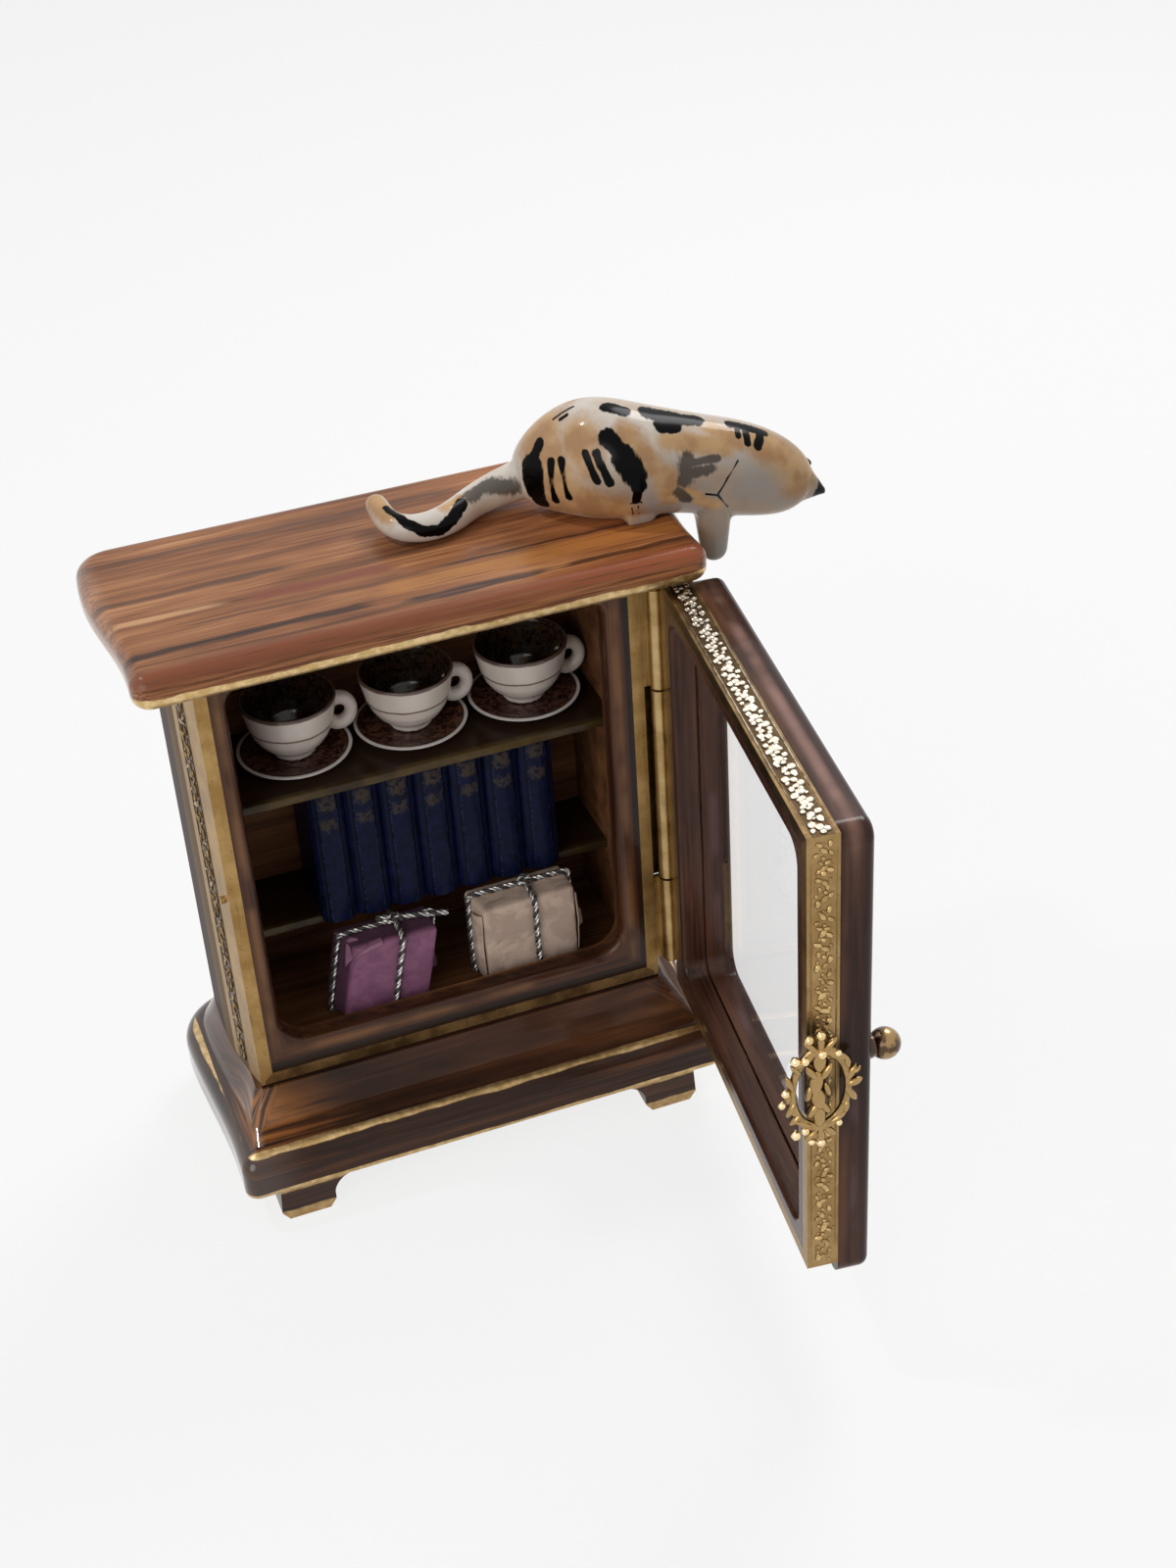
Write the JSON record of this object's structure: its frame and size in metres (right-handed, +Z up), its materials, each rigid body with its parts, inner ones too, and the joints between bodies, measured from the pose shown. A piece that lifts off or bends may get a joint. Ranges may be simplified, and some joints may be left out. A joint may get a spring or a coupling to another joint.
{
  "type": "china cabinet",
  "caption": "Miniature porcelain china cabinet with a hinged glazed door, gilt rims, shelves of cups and books, tied parcels and a cat lying on top.",
  "frame": {"origin": "on the floor, under the middle of the overall box with the door open as in the picture", "axes": "+Z up, -Y is the front that the door closes, +X is the hinge side"},
  "size_m": [0.0774, 0.0758, 0.0838],
  "materials": {
    "wood_glaze": "glossy glaze painted as streaked wood, with gilt lines",
    "gilt_brass": "gilt, with engraved and beaded bands",
    "gilt_knob": "gilded over a brown glazed neck",
    "shelf_glaze": "glossy brown-gold glaze",
    "cup_glaze": "glossy white, dark patterned inside",
    "book_glaze": "dark blue glaze with dull gilt marks",
    "cat_glaze": "glossy white with black and orange patches",
    "lilac_paper": "matt lilac wrapping paper",
    "beige_paper": "matt beige wrapping paper",
    "silver_cord": "thin twisted metallic cord",
    "window_glass": "thin clear pane"
  },
  "bodies": {
    "cabinet": {"base_plinth": "wood_glaze", "foot_front_left": "wood_glaze", "foot_front_right": "wood_glaze", "foot_back_left": "wood_glaze", "foot_back_right": "wood_glaze", "case_shell": "wood_glaze", "case_rim_left": "gilt_brass", "case_rim_right": "gilt_brass", "case_rim_top": "gilt_brass", "case_rim_bottom": "gilt_brass", "top_slab": "wood_glaze", "cat_figure": "cat_glaze", "upper_shelf": "shelf_glaze", "lower_shelf": "shelf_glaze", "catch_bead": "gilt_brass", "hinge_knuckle_top": "gilt_brass", "hinge_knuckle_bottom": "gilt_brass", "hinge_pin": "gilt_brass", "cup_1": "cup_glaze", "cup_2": "cup_glaze", "cup_3": "cup_glaze", "saucer_1": "cup_glaze", "saucer_2": "cup_glaze", "saucer_3": "cup_glaze", "book_1": "book_glaze", "book_2": "book_glaze", "book_3": "book_glaze", "book_4": "book_glaze", "book_5": "book_glaze", "book_6": "book_glaze", "book_7": "book_glaze", "parcel_lilac": "lilac_paper", "parcel_beige": "beige_paper", "cord_lilac": "silver_cord", "cord_beige": "silver_cord"},
    "door": {"door_frame": "wood_glaze", "door_glass": "window_glass", "door_knob": "gilt_knob", "door_clasp": "gilt_brass", "hinge_knuckle_door": "gilt_brass", "door_rim_free": "gilt_brass", "door_rim_hinge": "gilt_brass", "door_rim_top": "gilt_brass", "door_rim_bottom": "gilt_brass"}
  },
  "joints": [
    {"name": "door_hinge", "type": "hinge", "parent": "cabinet", "child": "door", "pos_m": [0.01816, 0.0137, 0.04], "axis": [0, 0, 1], "range_deg": [-83.5, 21.5]}
  ]
}
